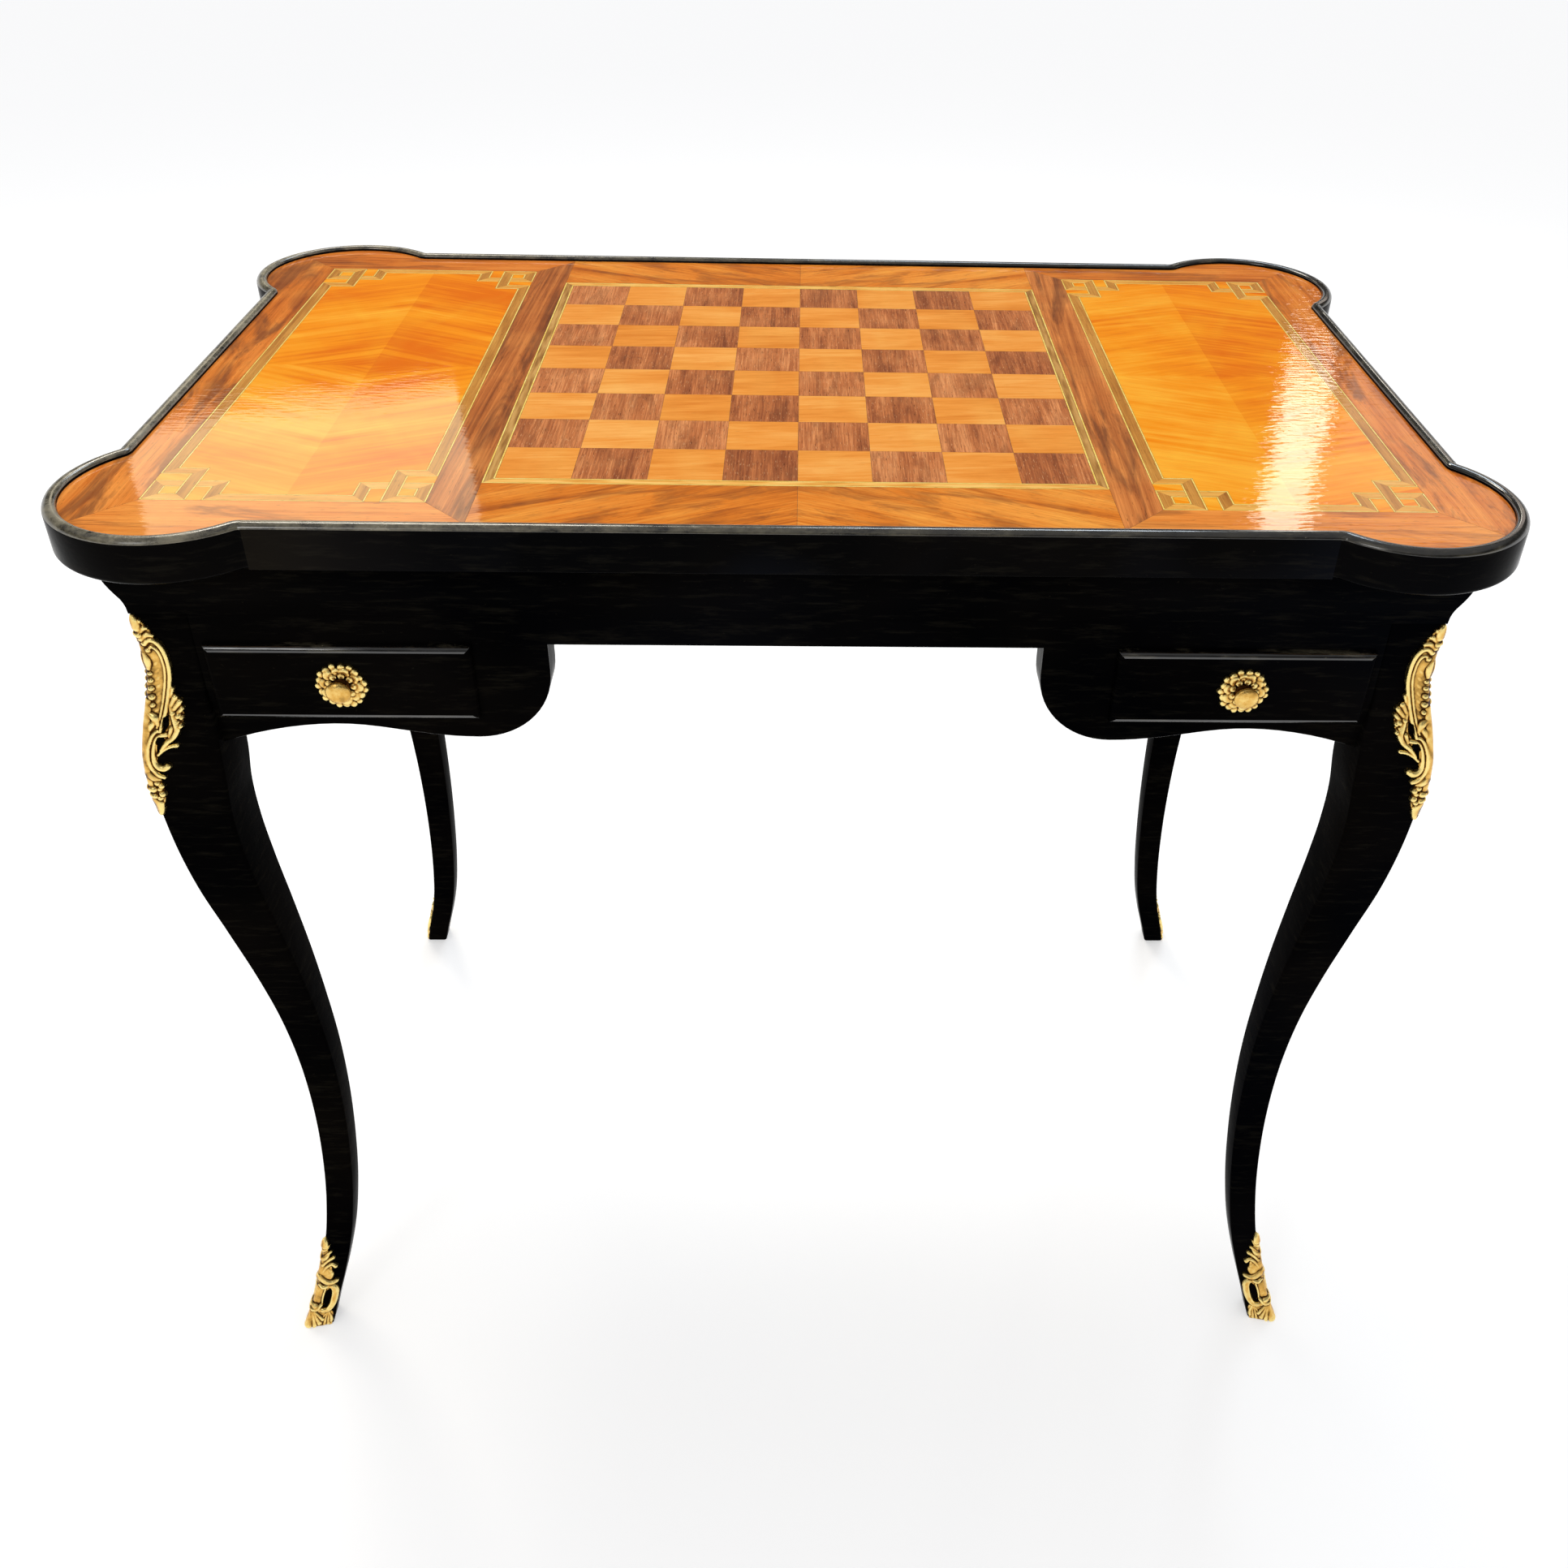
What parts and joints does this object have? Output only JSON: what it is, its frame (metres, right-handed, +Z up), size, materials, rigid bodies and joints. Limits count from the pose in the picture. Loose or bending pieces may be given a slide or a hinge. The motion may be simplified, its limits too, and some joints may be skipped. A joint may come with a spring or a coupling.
{
  "type": "games table",
  "caption": "Ebonised games table on cabriole legs, with a lift-off marquetry chess top over a backgammon well, small frieze drawers and gilt mounts.",
  "frame": {"origin": "on the floor, under the middle of the table", "axes": "+X along the long side, to the right of someone facing the drawers; +Y towards the back; +Z up"},
  "size_m": [0.864, 0.543, 0.745],
  "materials": {
    "ebonised_wood": "ebonised, black French polish",
    "well_ground_wood": "black-stained wood, satin",
    "satinwood": "quarter-cut veneer, high French polish",
    "rosewood": "rosewood veneer, high French polish",
    "dark_square_wood": "dark rosewood veneer, polished",
    "light_square_wood": "light satinwood veneer, polished",
    "boxwood_line": "boxwood stringing, polished",
    "banding_wood": "brown banding veneer, polished",
    "fret_wood_golden": "golden banding veneer, polished",
    "fret_wood_grey": "grey-brown banding veneer, polished",
    "light_point_wood": "sycamore inlay, polished",
    "dark_point_wood": "green-stained inlay, polished",
    "carcass_wood": "plain oak, waxed",
    "gilt_brass": "cast, chased and gilt"
  },
  "bodies": {
    "case": {"back_apron": "ebonised_wood", "corner_blocks": "carcass_wood", "dark_points": "dark_point_wood", "drawer_cheeks": "carcass_wood", "drawer_kickers": "carcass_wood", "drawer_runners": "carcass_wood", "frieze_moulding_back": "ebonised_wood", "frieze_moulding_front": "ebonised_wood", "frieze_moulding_left": "ebonised_wood", "frieze_moulding_right": "ebonised_wood", "front_apron": "ebonised_wood", "knee_mount_back_left": "gilt_brass", "knee_mount_back_right": "gilt_brass", "knee_mount_front_left": "gilt_brass", "knee_mount_front_right": "gilt_brass", "left_apron": "ebonised_wood", "leg_back_left": "ebonised_wood", "leg_back_right": "ebonised_wood", "leg_front_left": "ebonised_wood", "leg_front_right": "ebonised_wood", "light_points": "light_point_wood", "right_apron": "ebonised_wood", "sabot_back_left": "gilt_brass", "sabot_back_right": "gilt_brass", "sabot_front_left": "gilt_brass", "sabot_front_right": "gilt_brass", "well_divider": "well_ground_wood", "well_floor": "well_ground_wood", "well_lining": "well_ground_wood"},
    "top": {"top_core": "carcass_wood", "top_rails_long": "ebonised_wood", "top_rails_short": "ebonised_wood", "top_ears": "ebonised_wood", "light_squares": "light_square_wood", "dark_squares": "dark_square_wood", "board_lines": "boxwood_line", "board_band": "banding_wood", "panel_veneer_left": "satinwood", "panel_veneer_right": "satinwood", "panel_lines": "boxwood_line", "fret_bands_cross": "fret_wood_golden", "fret_bands_long": "fret_wood_grey", "crossbands": "rosewood", "divider_bands": "rosewood", "side_borders": "rosewood", "end_borders": "rosewood", "locating_cleats": "carcass_wood"},
    "drawer_left": {"drawer_front_left": "ebonised_wood", "drawer_sides_left": "carcass_wood", "drawer_back_left": "carcass_wood", "drawer_bottom_left": "carcass_wood", "drawer_rosette_left": "gilt_brass", "drawer_knob_left": "gilt_brass"},
    "drawer_right": {"drawer_front_right": "ebonised_wood", "drawer_sides_right": "carcass_wood", "drawer_back_right": "carcass_wood", "drawer_bottom_right": "carcass_wood", "drawer_rosette_right": "gilt_brass", "drawer_knob_right": "gilt_brass"}
  },
  "joints": [
    {"name": "top_lift", "type": "slide", "parent": "case", "child": "top", "axis": [0, 0, 1], "range_m": [0, 0.1]},
    {"name": "drawer_left_slide", "type": "slide", "parent": "case", "child": "drawer_left", "axis": [0, -1, 0], "range_m": [0, 0.25]},
    {"name": "drawer_right_slide", "type": "slide", "parent": "case", "child": "drawer_right", "axis": [0, -1, 0], "range_m": [0, 0.25]}
  ]
}
